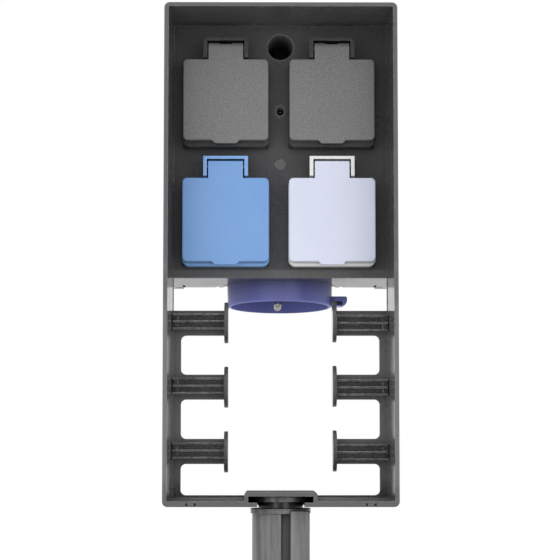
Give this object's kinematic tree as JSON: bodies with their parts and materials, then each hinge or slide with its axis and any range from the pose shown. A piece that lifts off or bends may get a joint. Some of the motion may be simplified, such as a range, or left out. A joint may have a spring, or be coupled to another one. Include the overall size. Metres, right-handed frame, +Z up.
{
  "type": "garden power post",
  "caption": "Ground-spiked outdoor power post: hooded socket panel with sprung lids, a supply inlet collar below and ribbed cable-winding arms.",
  "frame": {"origin": "on the ground spike's axis at ground level", "axes": "+Z up along the spike, +X to the right seen from the front, +Y to the back"},
  "size_m": [0.1332, 0.1343, 0.5239],
  "materials": {
    "housing_plastic": "fine satin grain",
    "cover_plastic": "fine satin grain",
    "base_plastic": "satin",
    "dark_lid_plastic": "satin, slightly scuffed",
    "blue_lid_plastic": "satin",
    "grey_lid_plastic": "satin",
    "inlet_plastic": "satin",
    "spike_plastic": "satin, a little dusty",
    "carrier_plastic": "dull",
    "seal_rubber": "matt",
    "contact_brass": "bright",
    "earth_steel": "plated",
    "pin_steel": "ground",
    "spring_steel": "drawn wire",
    "screw_steel": "zinc plated",
    "inlet_pin_metal": "nickel plated",
    "lead_sheath": "matt",
    "core_sheath": "smooth"
  },
  "bodies": {
    "spike": {"ground_spike": "spike_plastic"},
    "housing": {"front_housing": "housing_plastic", "winding_arm_left_1": "housing_plastic", "winding_arm_left_2": "housing_plastic", "winding_arm_left_3": "housing_plastic", "winding_arm_right_1": "housing_plastic", "winding_arm_right_2": "housing_plastic", "winding_arm_right_3": "housing_plastic", "rear_cover": "cover_plastic", "cover_seal": "seal_rubber", "cover_screws": "screw_steel", "dark_left_socket_base": "base_plastic", "dark_left_socket_gasket": "seal_rubber", "dark_left_contact_carrier": "carrier_plastic", "dark_left_pole_contacts": "contact_brass", "dark_left_earth_clip": "earth_steel", "dark_left_lid_pin": "pin_steel", "dark_left_lid_spring": "spring_steel", "dark_right_socket_base": "base_plastic", "dark_right_socket_gasket": "seal_rubber", "dark_right_contact_carrier": "carrier_plastic", "dark_right_pole_contacts": "contact_brass", "dark_right_earth_clip": "earth_steel", "dark_right_lid_pin": "pin_steel", "dark_right_lid_spring": "spring_steel", "blue_socket_base": "base_plastic", "blue_socket_gasket": "seal_rubber", "blue_contact_carrier": "carrier_plastic", "blue_pole_contacts": "contact_brass", "blue_earth_clip": "earth_steel", "blue_lid_pin": "pin_steel", "blue_lid_spring": "spring_steel", "grey_socket_base": "base_plastic", "grey_socket_gasket": "seal_rubber", "grey_contact_carrier": "carrier_plastic", "grey_pole_contacts": "contact_brass", "grey_earth_clip": "earth_steel", "grey_lid_pin": "pin_steel", "grey_lid_spring": "spring_steel", "socket_screws": "screw_steel", "inlet_collar": "inlet_plastic", "inlet_gasket": "seal_rubber", "inlet_carrier": "carrier_plastic", "inlet_pins": "inlet_pin_metal", "inlet_screws": "screw_steel", "terminal_block": "carrier_plastic", "socket_leads": "lead_sheath", "inlet_cores": "core_sheath"},
    "dark_left_lid_body": {"dark_left_lid": "dark_lid_plastic", "dark_left_lid_seal": "seal_rubber"},
    "dark_right_lid_body": {"dark_right_lid": "dark_lid_plastic", "dark_right_lid_seal": "seal_rubber"},
    "blue_lid_body": {"blue_lid": "blue_lid_plastic", "blue_lid_seal": "seal_rubber"},
    "grey_lid_body": {"grey_lid": "grey_lid_plastic", "grey_lid_seal": "seal_rubber"}
  },
  "joints": [
    {"name": "housing_slide", "type": "slide", "parent": "spike", "child": "housing", "axis": [0, 1, 0], "range_m": [0, 0.046]},
    {"name": "dark_left_lid_hinge", "type": "hinge", "parent": "housing", "child": "dark_left_lid_body", "pos_m": [-0.0313, 0.0112, 0.3108], "axis": [-1, 0, 0], "range_deg": [0, 105], "stiffness_Nm_per_rad": 0.012, "springref_deg": -28.65},
    {"name": "dark_right_lid_hinge", "type": "hinge", "parent": "housing", "child": "dark_right_lid_body", "pos_m": [0.0295, 0.0112, 0.3108], "axis": [-1, 0, 0], "range_deg": [0, 105], "stiffness_Nm_per_rad": 0.012, "springref_deg": -28.65},
    {"name": "blue_lid_hinge", "type": "hinge", "parent": "housing", "child": "blue_lid_body", "pos_m": [-0.0313, 0.0112, 0.2423], "axis": [-1, 0, 0], "range_deg": [0, 105], "stiffness_Nm_per_rad": 0.012, "springref_deg": -28.65},
    {"name": "grey_lid_hinge", "type": "hinge", "parent": "housing", "child": "grey_lid_body", "pos_m": [0.0295, 0.0112, 0.2423], "axis": [-1, 0, 0], "range_deg": [0, 105], "stiffness_Nm_per_rad": 0.012, "springref_deg": -28.65}
  ]
}
